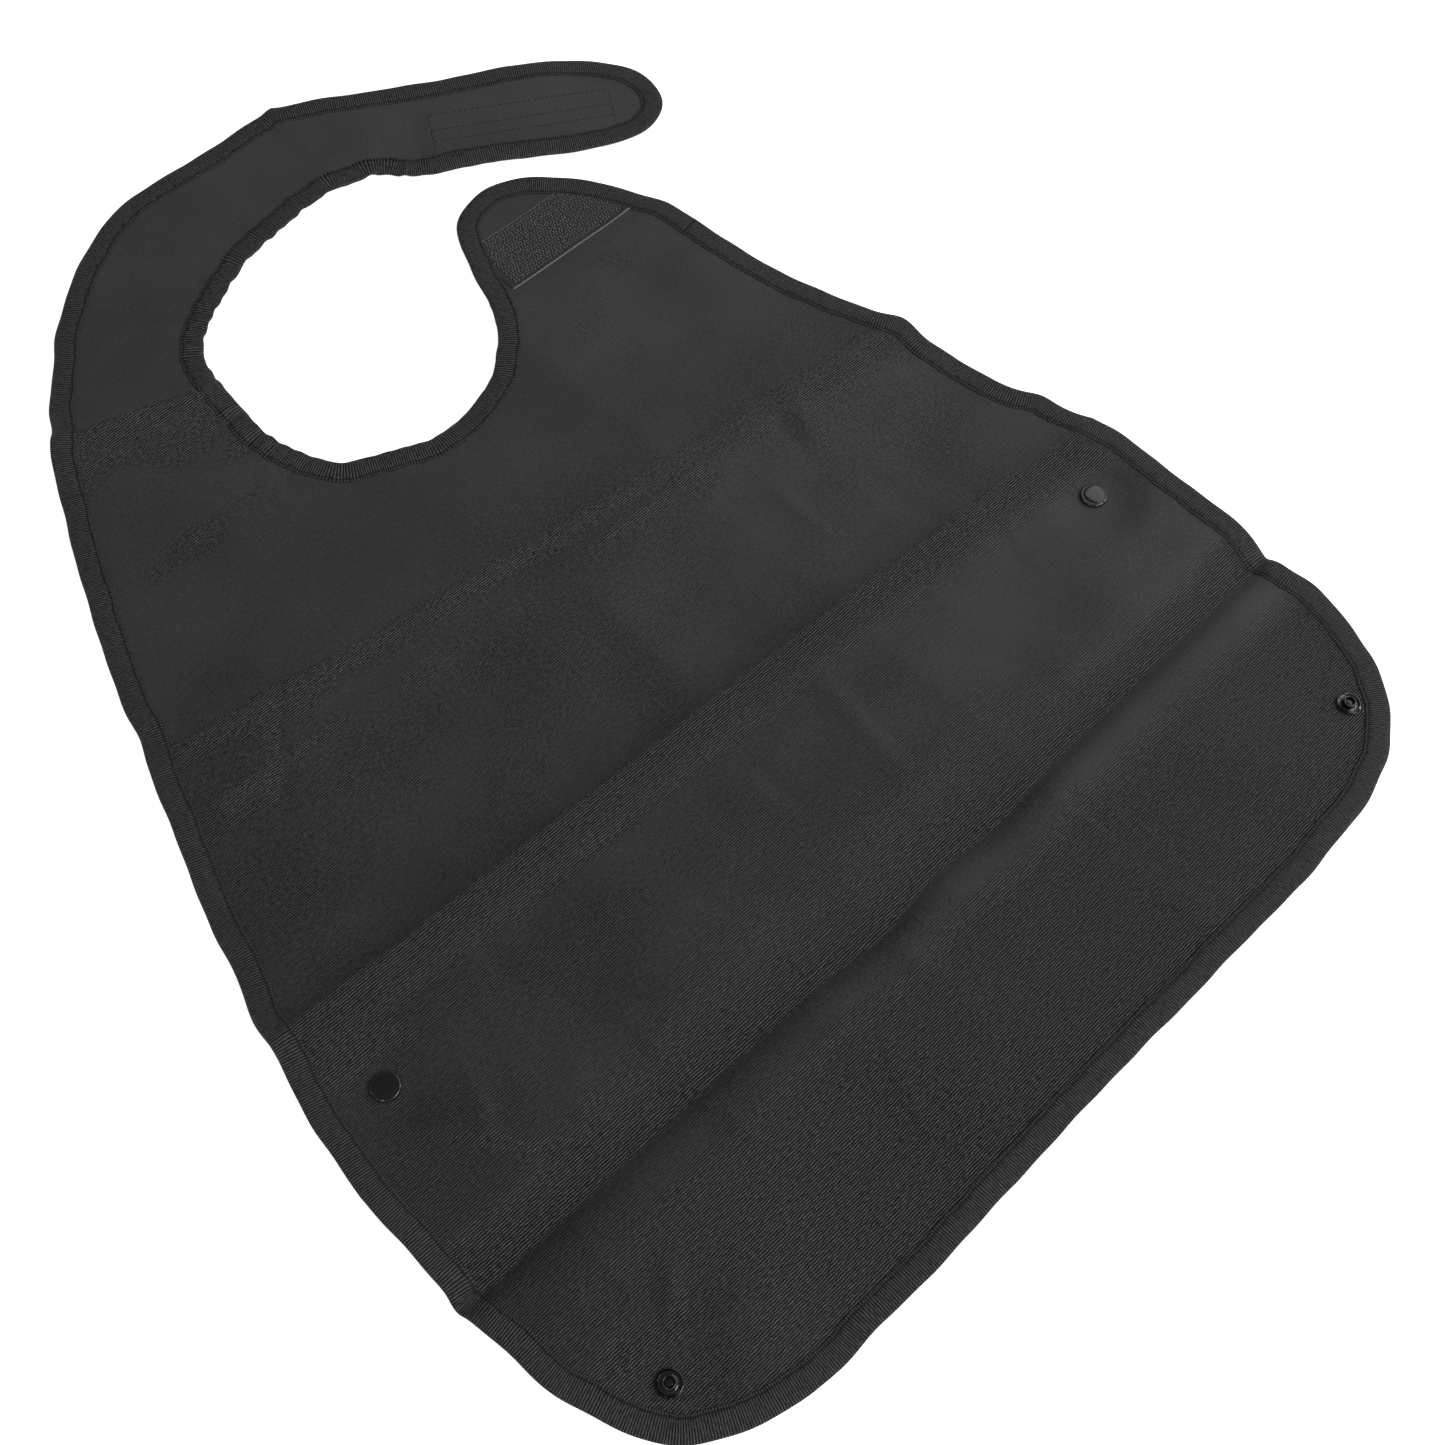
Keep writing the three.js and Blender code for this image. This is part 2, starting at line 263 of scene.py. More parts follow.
# ---- the lie of the cloth ----
# Each ridge: its line of (along, across, height) points, how far it runs out on its far side (greater
# across) and on its near side, and how blunt its crest is.
CROSS_RIDGES = [
    ([(-125, 214.5, 7), (-58, 192, 7), (-45, 187, 5), (-15, 178, 0)], 28, 28, 0.8),
    ([(-125, 214.5, 0.8), (-58, 192, 0.8), (-45, 187, 0.6), (-15, 178, 0)], 3, 3, 0.4),
    ([(-200, 56, 1.2), (-145, 46, 2.2), (50, 20, 3.2), (150, 10, 3.2), (218, 4, 4.2)], 60, 22, 3),
    ([(-190, 22, 0.7), (0, 8, 0.5), (215, 1, 0.8)], 5, 9, 0.6),
    ([(-226, -80, 3.0), (2, -88, 3.6), (120, -94, 3.8), (240, -101, 4.2)], 36, 55, 0.6),
    ([(-226, -80, 3.0), (2, -88, 2.8), (120, -94, 1.8), (240, -101, 1.0)], 5.5, 10, 0.3),
    ([(95, 136, 1.0), (185, 131.5, 1.6)], 9, 26, 2),
]
UPRIGHT_RIDGES = [
    ([(-92, 2, 0), (-70, 1, 1.5), (-20, 3, 1.8), (4, 4, 0)], 26, 7, 1.5),
    ([(-95, -62, 0), (-60, -64, -1.2), (20, -66, -1.2), (50, -66, 0)], 10, 22, 2.5),
    ([(-318, -74, -1.3), (-260, -76, -1.3), (-208, -72, 0)], 8, 20, 2),
    ([(-318, 82, 2.4), (-292, 77, 1.6), (-255, 76, 0)], 12, 6, 1.5),
    ([(250, 77, 1.0), (283, 79.5, 1.6), (318, 82, 2.4)], 14, 14, 1),
]
VALLEY_LINE = [
    (-240, -206), (-60, -207), (-20, -211), (15, -206), (50, -209.5), (95, -206), (240, -204),
]
VALLEY_DEPTH = 7.5
VALLEY_ABOVE = (75.0, 13.0, 13.0)  # reaches of the rise beside the valley and of its two slopes
VALLEY_BELOW = (80.0, 20.0, 3.0)

# Low waves over the whole cloth: direction, length, phase.
WAVE_COUNT = 18
SHORTEST_WAVE = 28
WAVES = [
    (RANDOM.uniform(0, math.pi), SHORTEST_WAVE * 1.12**k, RANDOM.uniform(0, 2 * math.pi))
    for k in range(WAVE_COUNT)
]
WAVE_SLOPE = 0.0135

# Short soft creases that run up and down the lower body: x, y, angle from Y, length, height, reach.
RUMPLE_COUNT = 52
RUMPLES = [
    (
        RANDOM.uniform(-215, 225), RANDOM.uniform(-300, 20), RANDOM.normal(0, 0.45),
        RANDOM.uniform(12, 34), RANDOM.uniform(-0.9, 1.2), RANDOM.uniform(2.5, 6),
    )
    for _ in range(RUMPLE_COUNT)
]


def ridge_height(along, across, line, far, near, rounding):
    line = np.array(line, float)
    v = across - np.interp(along, line[:, 0], line[:, 1])
    height = np.interp(along, line[:, 0], line[:, 2])
    soft = np.sqrt(v * v + rounding**2) - rounding
    return height * np.exp(-soft / np.where(v > 0, far, near))


def valley_height(x, y):
    v = over_valley(x, y)
    away = np.sqrt(v * v + 1) - 1
    wide, middle, narrow = (
        np.exp(-away / np.where(v > 0, *reaches)) for reaches in zip(VALLEY_ABOVE, VALLEY_BELOW)
    )
    return VALLEY_DEPTH * (wide - 0.5 * middle - 0.5 * narrow)


def over_valley(x, y):
    """Distance from the valley's line, positive on the chest side."""
    line = np.array(VALLEY_LINE, float)
    return y - np.interp(x, line[:, 0], line[:, 1])


def rumples(x, y):
    total = np.zeros_like(x)
    for at_x, at_y, angle, length, height, reach in RUMPLES:
        cos, sin = math.cos(angle), math.sin(angle)
        along = (x - at_x) * sin + (y - at_y) * cos
        across = (x - at_x) * cos - (y - at_y) * sin
        total += height * np.exp(-((across / reach) ** 2) - (along / length) ** 2)
    return total


def waves(x, y):
    total = np.zeros_like(x)
    for angle, length, phase in WAVES:
        along = x * math.cos(angle) + y * math.sin(angle)
        total += WAVE_SLOPE * length / 6 * np.sin(2 * np.pi * along / length + phase)
    return total


def strip_share(x, y):
    """1 over the loop strip, falling to 0 around it."""
    u = (x - STRIP_X) * STRIP_COS + (y - STRIP_Y) * STRIP_SIN
    v = (y - STRIP_Y) * STRIP_COS - (x - STRIP_X) * STRIP_SIN
    beyond_u = (STRIP_LENGTH / 2 + STRIP_MARGIN - abs(u)) / STRIP_FADE
    beyond_v = (STRIP_WIDTH / 2 + STRIP_MARGIN - abs(v)) / STRIP_FADE
    return smooth(beyond_u) * smooth(beyond_v)


SNAP_PLACES = {
    node: (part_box(node)[0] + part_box(node)[1]) / 2 / MM
    for node in ("snap_cap_left", "snap_cap_right", "flap_snap_cap_left", "flap_snap_cap_right")
}


def cloth_height(x, y, arc, inset):
    """Height of the middle of the cloth over the floor."""
    height = BASE_HEIGHT + waves(x, y) + rumples(x, y) + valley_height(x, y)
    for ridge in CROSS_RIDGES:
        height += ridge_height(x, y, *ridge)
    for ridge in UPRIGHT_RIDGES:
        height += ridge_height(y, x, *ridge)
    gathers = ruffle_strength(arc) * wander(arc, (13.7, 19, 8.1), 2.3)
    height += RUFFLE_HEIGHT * gathers * np.exp(-np.maximum(inset, 0) / RUFFLE_REACH)
    height = smooth_max(height, LEAST_HEIGHT, 0.4)
    strip = strip_share(x, y)
    height = height * (1 - strip) + smooth_max(height, STRIP_HEIGHT, 0.3) * strip
    for place in SNAP_PLACES.values():
        away = np.hypot(x - place.x, y - place.y)
        grip = smooth(SNAP_GRIP - away / SNAP_GRIP_REACH)
        height = height * (1 - grip) + SNAP_HEIGHT * grip
    return height


def surface(points):
    """The heights of plan points."""
    arc, inset = arc_and_inset(points)
    return cloth_height(points[:, 0], points[:, 1], arc, inset)


# ---- making pieces ----
def new_object(name, data):
    made = bpy.data.objects.new(name, data)
    bpy.context.scene.collection.objects.link(made)
    return made


def make_piece(name, points, faces, material, uv=None, flat_faces=0):
    """A mesh piece from points in millimetres. The last flat_faces faces aren't smoothed."""
    mesh = bpy.data.meshes.new(name)
    mesh.from_pydata((np.asarray(points) * MM).tolist(), [], faces)
    shade = np.ones(len(mesh.polygons), bool)
    if flat_faces:
        shade[-flat_faces:] = False
    mesh.polygons.foreach_set("use_smooth", shade)
    if uv is not None:
        layer = mesh.uv_layers.new(name="Weave")
        layer.data.foreach_set("uv", np.asarray(uv, float)[corner_points(mesh)].ravel())
    mesh.materials.append(material)
    mesh.update()
    return new_object(name, mesh)


def corner_points(mesh):
    """The number of the point at each corner of the faces."""
    numbers = np.zeros(len(mesh.loops), int)
    mesh.loops.foreach_get("vertex_index", numbers)
    return numbers


def sheet_faces(cells, count):
    """Faces of a closed sheet: its top cells, the same cells turned over on the count points that
    follow, and the rim. The second result is the number of faces in the rim."""
    ways = {(a, b) for cell in cells.tolist() for a, b in zip(cell, cell[1:] + cell[:1])}
    rim = [(b, a, a + count, b + count) for a, b in sorted(ways) if (b, a) not in ways]
    return cells.tolist() + (cells[:, ::-1] + count).tolist() + rim, len(rim)


def outward_faces(points, faces):
    """The same faces, turned round if the closed surface that they make is inside out."""
    p = np.asarray(points)
    volume = sum(
        np.dot(p[face[0]], np.cross(p[a], p[b])) for face in faces for a, b in zip(face[1:], face[2:])
    )
    return faces if volume > 0 else [tuple(reversed(face)) for face in faces]


def band_faces(low, high, sides):
    """The faces between two rings of points, numbered from low and from high."""
    return [(low + a, low + b, high + b, high + a) for a, b in next_to_each(sides)]


def next_to_each(sides):
    return [(side, (side + 1) % sides) for side in range(sides)]


def sweep_faces(rings, sides):
    """Faces of a closed tube, numbered ring by ring, with both ends capped."""
    faces = []
    for ring in range(rings - 1):
        faces += band_faces(ring * sides, (ring + 1) * sides, sides)
    faces.append(tuple(reversed(range(sides))))
    faces.append(tuple(range((rings - 1) * sides, rings * sides)))
    return faces


ALMOST_UP = np.array([0.013, 0.021, 1.0])  # a direction that no tube runs along
TUBE_END = 0.6  # thickness of a tube's ends, as a share


def tubes(paths, radius, sides):
    """Many short tubes of one thickness. paths holds each tube's points, as (tube, point, xyz)."""
    paths = np.asarray(paths, float)
    count, rings, _ = paths.shape
    along = np.gradient(paths, axis=1)
    along /= norm(along, axis=2)[..., None] + 1e-9
    sideways = np.cross(along, paths[:, -1:] - paths[:, :1] + ALMOST_UP)
    sideways /= norm(sideways, axis=2)[..., None] + 1e-9
    upwards = np.cross(sideways, along)
    turn = np.arange(sides) * 2 * np.pi / sides
    round_it = sideways[:, :, None] * np.cos(turn)[:, None] + upwards[:, :, None] * np.sin(turn)[:, None]
    thickness = np.full(rings, radius)
    thickness[[0, -1]] *= TUBE_END
    points = paths[:, :, None] + round_it * thickness[None, :, None, None]
    one = outward_faces(points[0].reshape(-1, 3), sweep_faces(rings, sides))
    size = rings * sides
    faces = [tuple(k + n * size for k in face) for n in range(count) for face in one]
    return points.reshape(-1, 3), faces


# ---- materials ----
class Shader:
    """A Principled material with short ways to add nodes to it."""

    def __init__(self, name, color, roughness, specular=0.5):
        self.material = bpy.data.materials.new(name)
        self.material.use_nodes = True
        self.tree = self.material.node_tree
        self.bsdf = self.tree.nodes["Principled BSDF"]
        self.set("Base Color", (*color, 1))
        self.set("Roughness", roughness)
        self.set("Specular IOR Level", specular)

    def set(self, socket, value):
        self.bsdf.inputs[socket].default_value = value

    def into(self, source, socket):
        self.tree.links.new(source, self.bsdf.inputs[socket])

    def node(self, kind, **inputs):
        made = self.tree.nodes.new(kind)
        for name, value in inputs.items():
            self.feed(made.inputs[name], value)
        return made

    def feed(self, socket, value):
        if isinstance(value, bpy.types.NodeSocket):
            self.tree.links.new(value, socket)
        else:
            socket.default_value = value

    def math(self, operation, a, b=0.0, c=0.0):
        made = self.tree.nodes.new("ShaderNodeMath")
        made.operation = operation
        for socket, value in zip(made.inputs, (a, b, c)):
            self.feed(socket, value)
        return made.outputs[0]

    def plus(self, a, b):
        return self.math("ADD", a, b)

    def times(self, a, b):
        return self.math("MULTIPLY", a, b)

    def scaled(self, value, factor, offset):
        return self.math("MULTIPLY_ADD", value, factor, offset)

    def wave(self, distance, length):
        return self.math("COSINE", self.times(distance, 2 * math.pi / length))

    def centred(self, noise, size):
        """A noise around 0 in place of 0.5."""
        return self.times(self.math("SUBTRACT", noise, 0.5), size)

    def noise(self, vector, scale, detail=2.0):
        made = self.node("ShaderNodeTexNoise", Vector=vector, Scale=scale, Detail=detail)
        return made.outputs["Fac"]

    def stretch(self, vector, scale):
        made = self.node("ShaderNodeMapping", Vector=vector, Scale=scale)
        return made.outputs["Vector"]

    def uv(self):
        made = self.tree.nodes.new("ShaderNodeUVMap")
        made.uv_map = "Weave"
        return made.outputs["UV"]

    def place(self):
        return self.tree.nodes.new("ShaderNodeTexCoord").outputs["Object"]

    def split(self, vector):
        made = self.node("ShaderNodeSeparateXYZ", Vector=vector)
        return made.outputs["X"], made.outputs["Y"]

    def base_color(self, factor, dark, light):
        """The surface's colour, between two by a factor from 0 to 1."""
        made = self.tree.nodes.new("ShaderNodeMix")
        made.data_type = "RGBA"
        made.clamp_factor = True
        self.feed(made.inputs["Factor"], factor)
        made.inputs["A"].default_value = (*dark, 1)
        made.inputs["B"].default_value = (*light, 1)
        self.into(made.outputs["Result"], "Base Color")

    def bump(self, height, strength, distance):
        made = self.node("ShaderNodeBump", Height=height, Strength=strength, Distance=distance * MM)
        self.into(made.outputs["Normal"], "Normal")


WEFT_PITCH = 1.03
WARP_PITCH = 0.55
WEFT_DRIFT = 0.6  # how far the rows stray from straight
PLAIN_WEAVE_CONTRAST = 0.12  # of the weave in colour and bump, outside the painted sheen
SHEEN_CONTRAST = 1.1  # added to it where sheen is painted on the weave
# Painted shade: the tone is lowered where sheen is painted, so that the yarns' painted glints stand over
# dark gaps.
SHEEN_DARKENING = 0.42
# Painted light: the cloth's tone grows towards the right and the top, where the lamps light it more.
PAINTED_LIGHT_TO_RIGHT = 0.0003  # growth of the cloth's tone per millimetre
PAINTED_LIGHT_TO_TOP = 0.00012
CLOTH_LIGHTEST = 0.075
RIB_PITCH = 1.1
RIB_DRIFT = 0.35
TAPE_YARN_PITCH = 0.45
TAPE_LIGHTEST = (0.047, 0.049, 0.049)
HOOK_BASE_PITCH = (0.7, 0.6)


def grey(value):
    return (value, value, value)


def cloth_material():
    """Coated oxford: thick weft rows crossed by finer warp yarns. Its coating is smooth and cloudy
    in the flat, painted a little lighter to the right and the top where the lamps light it more,
    and painted with sheen on the yarns where the cloth has been folded and its slopes face the light."""
    s = Shader("coated_oxford", grey(0.02), roughness=0.5, specular=0.18)
    plan = s.uv()
    u, v = s.split(plan)
    v = s.plus(v, s.centred(s.noise(plan, 0.35, 1.0), WEFT_DRIFT))
    crossing = s.times(s.wave(u, 2 * WARP_PITCH), s.wave(v, 2 * WEFT_PITCH))
    yarns = s.plus(s.wave(v, WEFT_PITCH), s.times(crossing, 0.4))
    slub = s.noise(s.stretch(plan, (0.5, 0.9, 1.0)), 1.0, 2.0)
    cloud = s.noise(plan, 0.018, 4.0)
    attribute = s.node("ShaderNodeAttribute")
    attribute.attribute_name = "painted_sheen"
    painted_sheen = attribute.outputs["Fac"]
    # Painted sheen: where the light rakes the fold slopes, the weave's yarn tops are painted lighter and
    # its gaps darker, and its bump is raised.
    contrast = s.scaled(painted_sheen, SHEEN_CONTRAST, PLAIN_WEAVE_CONTRAST)
    height = s.times(s.plus(yarns, s.centred(slub, 2.8)), contrast)
    # Painted light: the base tone grows to the right and to the top.
    base_tone_and_painted_light = s.plus(s.times(u, PAINTED_LIGHT_TO_RIGHT), s.scaled(v, PAINTED_LIGHT_TO_TOP, 0.25))
    tone = s.plus(s.plus(s.scaled(cloud, 0.22, base_tone_and_painted_light), height), s.times(painted_sheen, -SHEEN_DARKENING))
    s.base_color(tone, grey(0.0), grey(CLOTH_LIGHTEST))
    s.into(s.scaled(cloud, 0.2, 0.38), "Roughness")
    s.bump(height, 1.0, 0.16)
    return s.material


def tape_material():
    """Grosgrain binding: ribs across the tape, and painted shade in the groove that its seam pulls in.
    """
    s = Shader("ribbed_tape", (0.018, 0.02, 0.02), 0.6, 0.2)
    along = s.uv()
    u, v = s.split(along)
    rib = s.wave(s.plus(u, s.centred(s.noise(along, 0.5, 1.0), RIB_DRIFT)), RIB_PITCH)
    yarn = s.wave(v, TAPE_YARN_PITCH)
    fuzz = s.noise(s.stretch(along, (1.0, 0.35, 1.0)), 1.1, 3.0)
    cloud = s.noise(along, 0.06, 3.0)
    tone = s.plus(s.scaled(rib, 0.9, -1.4), s.times(fuzz, 3.0))
    tone = s.plus(tone, s.times(cloud, 0.25))
    # Painted shade: the tape's colour darkens towards the stitch line, in the groove that the seam pulls
    # in.
    off_seam = s.math("ABSOLUTE", s.math("SUBTRACT", v, STITCH_INSET))
    groove_shade = s.math("SMOOTH_MIN", s.times(off_seam, 1.4), 1.0, 0.3)
    s.base_color(s.times(tone, groove_shade), grey(0.001), TAPE_LIGHTEST)
    height = s.plus(rib, s.times(s.times(yarn, rib), 0.25))
    s.bump(s.plus(height, s.times(fuzz, 1.2)), 0.8, 0.14)
    return s.material


def thread_material():
    """Polyester sewing thread, twisted."""
    s = Shader("sewing_thread", grey(0.006), 0.5, 0.2)
    twist = s.noise(s.place(), 3000.0, 1.0)
    s.base_color(twist, grey(0.002), (0.009, 0.010, 0.010))
    s.bump(twist, 0.4, 0.05)
    return s.material


def hook_base_material():
    """Woven base of the hook tape. The outer part of its bare selvages is painted lighter, as a
    highlight along the tape's edges.
    """
    s = Shader("hook_tape_base", grey(0.02), 0.7, 0.4)
    along, from_side = s.split(s.uv())
    woven = s.times(s.wave(along, HOOK_BASE_PITCH[0]), s.wave(from_side, HOOK_BASE_PITCH[1]))
    # Painted highlight: the outer part of each selvage, along the tape's edge, is painted lighter.
    edge_highlight = s.math("LESS_THAN", from_side, 0.42)
    tone = s.plus(s.scaled(woven, 0.08, 0.1), s.times(edge_highlight, 0.75))
    s.base_color(tone, grey(0.003), grey(0.11))
    s.bump(woven, 0.6, 0.1)
    return s.material


def plastic_material(name, value, roughness, gloss=0.5):
    s = Shader(name, grey(value), roughness, gloss)
    s.set("Coat Weight", gloss)
    s.set("Coat Roughness", 0.1)
    mottle = s.noise(s.place(), 900.0, 3.0)
    s.base_color(mottle, grey(value * 0.7), grey(value * 1.3))
    s.into(s.scaled(mottle, 0.12, roughness - 0.05), "Roughness")
    s.bump(mottle, 0.08, 0.02)
    return s.material


def pile_material():
    s = Shader("loop_pile", grey(0.03), 0.9, 0.2)
    s.set("Sheen Weight", 0.4)
    fuzz = s.noise(s.place(), 1500.0, 4.0)
    s.base_color(fuzz, grey(0.012), grey(0.05))
    s.bump(fuzz, 0.7, 0.2)
    return s.material


FLOOR_GLOW = 0.7  # keeps the pale floor clear of grey shadows


def floor_material():
    s = Shader("pale_floor", grey(0.9), 0.9, 0.1)
    grain = s.noise(s.place(), 6.0, 2.0)
    s.base_color(grain, grey(0.89), grey(0.91))
    s.set("Emission Color", (1, 1, 1, 1))
    s.set("Emission Strength", FLOOR_GLOW)
    return s.material


CLOTH = cloth_material()
TAPE = tape_material()
THREAD = thread_material()
HOOK_BASE = hook_base_material()
# Painted highlight: the hooks are a lighter grey than the black tape they stand on, for the glints along
# their bends.
HOOK = plastic_material("hook_filament", 0.16, 0.3)
PILE = pile_material()
SNAP = plastic_material("snap_plastic", 0.003, 0.12, 0.4)


# ---- joints of the zones ----
def join_bodies(piece, joint_name, side):
    """Finds the way across a joint's fold towards side, which nothing then uses, and bakes the
    piece's transform into its mesh. side is a plan point in mm on the moving side of the fold.
    """
    joint = next(j for j in frame["joints"] if j["name"] == joint_name)
    place = Vector(joint["pos_m"])
    across = Vector(joint["axis"]).cross(Vector((0, 0, 1))).normalized()
    if (Vector((*side, 0)) * MM - place).dot(across) < 0:
        across = -across
    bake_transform(piece)


# Each zone: the joint at its fold, a plan point on the joint's moving side, and a point
# inside the zone's cloth.
ZONES = {
    "bib": ("catcher_fold", (0, -260), (0, -60)),
    "strap": ("strap_lift", (-40, 270), (-40, 265)),
    "strap_end": ("strap_end_fold", (160, 250), (160, 240)),
    "tab": ("tab_fold", (130, 170), (130, 170)),
}


# ---- the cloth ----
GRID_X = 3.2
GRID_Y = 1.6
RIM_MARGIN = 1.2  # between the cut edge and the first points of the grid
SPLIT_MARGIN = 0.7
SPLIT_STEP = 2.0


def interior_points():
    xs = np.arange(-HALF_WIDTH, HALF_WIDTH, GRID_X)
    ys = np.arange(HEM_Y, -HEM_Y, GRID_Y)
    x, y = np.meshgrid(xs, ys)
    x = x + (np.arange(len(ys)) % 2)[:, None] * GRID_X / 2
    points = np.column_stack([x.ravel(), y.ravel()])
    _, inset = arc_and_inset(points)
    keep = inset > CLOTH_INSET + RIM_MARGIN
    for start, end in SPLIT_ENDS.values():
        keep &= distance_to_line(points, start, end) > SPLIT_MARGIN
    return points[keep]


def distance_to_line(points, start, end):
    """Distance of points from a segment."""
    run = end - start
    t = np.clip(((points - start) @ run) / (run @ run), 0, 1)
    return norm(points - (start + t[:, None] * run), axis=1)


# The cloth's cut edge, and the two points of it that each split ends at.
RIM = edge_point(np.arange(len(EDGE)) * EDGE_STEP, np.full(len(EDGE), CLOTH_INSET))
SPLIT_INDICES = {name: [nearest(RIM, place) for place in places] for name, places in SPLITS.items()}
SPLIT_ENDS = {name: (RIM[a], RIM[b]) for name, (a, b) in SPLIT_INDICES.items()}


def doubled_areas(plan, triangles):
    """Twice each triangle's area, negative where it runs clockwise."""
    a, b, c = (plan[triangles[:, k]] for k in range(3))
    return (b - a)[:, 0] * (c - a)[:, 1] - (b - a)[:, 1] * (c - a)[:, 0]


def triangulate():
    """The whole cloth in plan: its points and triangles."""
    count = len(RIM)
    edges = [(k, (k + 1) % count) for k in range(count)]
    points = [RIM]
    for start, end in SPLIT_INDICES.values():
        run = RIM[end] - RIM[start]
        steps = int(norm(run) / SPLIT_STEP)
        share = np.arange(1, steps)[:, None] / steps
        points.append(RIM[start] + share * run)
        chain = [start, *range(count, count + steps - 1), end]
        edges += list(zip(chain, chain[1:]))
        count += steps - 1
    points = np.vstack([*points, interior_points()])
    made = delaunay_2d_cdt([Vector(p) for p in points], edges, [], 1, 1e-4)
    plan = np.array([tuple(p) for p in made[0]])
    triangles = np.array([tuple(face) for face in made[2]])
    turned = doubled_areas(plan, triangles) < 0
    triangles[turned] = triangles[turned][:, ::-1]
    return plan, triangles


def zone_of_triangles(plan, triangles):
    """The zone that each triangle is in, found by spreading out from a triangle of each zone
    without crossing a split."""
    on_split = [distance_to_line(plan, *ends) < 1e-3 for ends in SPLIT_ENDS.values()]
    sides = []
    sharing = {}
    for number, triangle in enumerate(triangles.tolist()):
        edges = [tuple(sorted(edge)) for edge in zip(triangle, triangle[1:] + triangle[:1])]
        sides.append([(a, b) for a, b in edges if not any(on[a] and on[b] for on in on_split)])
        for edge in sides[-1]:
            sharing.setdefault(edge, []).append(number)
    centres = plan[triangles].mean(1)
    zones = np.full(len(triangles), -1)
    for zone, (_, _, inside) in enumerate(ZONES.values()):
        waiting = [nearest(centres, inside)]
        zones[waiting] = zone
        while waiting:
            for other in [other for edge in sides[waiting.pop()] for other in sharing[edge]]:
                if zones[other] < 0:
                    zones[other] = zone
                    waiting.append(other)
    return zones


def point_normals(points, triangles):
    a, b, c = (points[triangles[:, k]] for k in range(3))
    face = np.cross(b - a, c - a)
    normals = np.zeros_like(points)
    for k in range(3):
        np.add.at(normals, triangles[:, k], face)
    return normals / norm(normals, axis=1)[:, None]


# The bands below a fold where sheen is painted on the weave, on slopes turned to the light: ridge,
# width, strength.
SHEEN_FOLDS = [(CROSS_RIDGES[2], 17, 0.42), (CROSS_RIDGES[4], 26, 1.0)]
# Shares of painted sheen on the slopes turned to the light and in soft patches over the body.
SLOPE_SHEEN = 0.8
BODY_SHEEN = 0.16
RUFFLES_FROM_Y = 225  # from here up the cloth is tilted by the ruffles and not by a fold
UNSHEENED_STRIP = 13  # width of the strip under the valley that gets no painted sheen


def patchy(x, y):
    """Soft patches from 0 to 1."""
    return 0.5 + 0.5 * np.sin(x / 31 + 1.3 * np.sin(y / 19)) * np.sin(y / 23 + 1.1 * np.sin(x / 27))


def painted_sheen_mask(plan, normals):
    """How much sheen is painted on the weave's colour, and how much its bump is raised: most on the
    slopes that a fold has turned to the hem and the light, above the valley and on the flap under it."""
    x, y = plan.T
    v = over_valley(x, y)
    # Painted sheen on slopes tilted towards the hem, which face the light.
    tilted_to_hem = smooth((-normals[:, 1] - 0.04) / 0.12)
    slopes = SLOPE_SHEEN * tilted_to_hem * smooth((RUFFLES_FROM_Y - y) / 15)
    reach = 32 - 18 * smooth((x - 60) / 120) - 14 * smooth((-70 - x) / 90)
    above = np.where(v > 0, np.exp(-((v / reach) ** 2)), 0)
    across_flap = 0.15 + 0.7 * smooth((x + 190) / 140) + 0.25 * patchy(x, y)
    flap = smooth((-v - UNSHEENED_STRIP) / 16) * across_flap
    body = BODY_SHEEN * patchy(x, y) * smooth((70 - y) / 60)
    folds = []
    for (line, *_), width, strength in SHEEN_FOLDS:
        over = y - np.interp(x, *np.transpose(line)[:2])
        folds.append(strength * smooth(1.5 - over / 1.5) * smooth((over + width) / width * 1.4))
    return np.clip(np.maximum.reduce([slopes, above, flap, body, *folds]), 0, 1)


def cloth_piece(name, plan, height, normals, triangles):
    """One zone of the cloth as a closed sheet, with the whole cloth's normals at its splits."""
    used, local = np.unique(triangles, return_inverse=True)
    local = local.reshape(-1, 3)
    middle = np.column_stack([plan[used], height[used]])
    points = np.vstack([middle + [0, 0, CLOTH_HALF], middle - [0, 0, CLOTH_HALF]])
    faces, rim = sheet_faces(local, len(used))
    uv = np.vstack([plan[used], plan[used]])
    piece = make_piece(name, points, faces, CLOTH, uv, flat_faces=rim)
    wanted = np.vstack([normals[used], -normals[used]])[corner_points(piece.data)]
    wanted[len(local) * 6:] = 0
    piece.data.normals_split_custom_set(wanted.tolist())
    # Painted sheen: per point, how much sheen is painted on the weave, read by the cloth's material.
    painted_sheen = piece.data.attributes.new("painted_sheen", "FLOAT", "POINT")
    painted_sheen.data.foreach_set("value", np.tile(painted_sheen_mask(plan[used], normals[used]), 2))
    return piece


def make_cloth():
    """The cloth's pieces by zone, each with its flat area in square metres and its flat size."""
    plan, triangles = triangulate()
    height = surface(plan)
    normals = point_normals(np.column_stack([plan, height]), triangles)
    zones = zone_of_triangles(plan, triangles)
    made = {}
    for number, zone in enumerate(ZONES):
        mine = triangles[zones == number]
        piece = cloth_piece("cloth_" + zone, plan, height, normals, mine)
        area = 0.5 * np.abs(doubled_areas(plan, mine)).sum() * MM * MM
        size = np.ptp(plan[np.unique(mine)], axis=0) * MM
        made[zone] = (piece, area, size)
    return made


